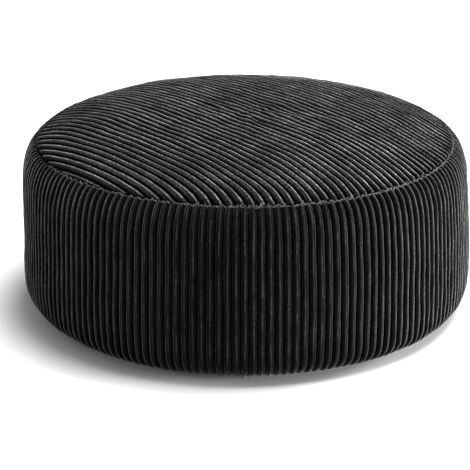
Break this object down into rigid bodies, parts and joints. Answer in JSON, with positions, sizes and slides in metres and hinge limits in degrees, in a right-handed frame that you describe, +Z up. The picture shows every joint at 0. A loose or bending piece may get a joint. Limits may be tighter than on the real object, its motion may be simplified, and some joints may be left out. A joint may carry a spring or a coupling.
{
  "type": "giant bean bag",
  "caption": "Low round floor bean bag in wide wale corduroy, with a crowned top of straight ribs, upright ribs around its side and a flat base that rests on the floor.",
  "frame": {"origin": "middle of the flat base, on the floor", "axes": "+Z up through the middle of the drum, -Y towards the front that the picture shows"},
  "size_m": [1, 1, 0.4324],
  "materials": {
    "top_cord": "charcoal black wide wale corduroy, cut pile, matt with a soft sheen",
    "side_cord": "charcoal black wide wale corduroy, cut pile, matt with a soft sheen",
    "base_cloth": "plain black woven upholstery cloth, matt"
  },
  "bodies": {
    "root": {"top_panel": "top_cord", "side_band": "side_cord", "base_panel": "base_cloth"}
  },
  "joints": []
}
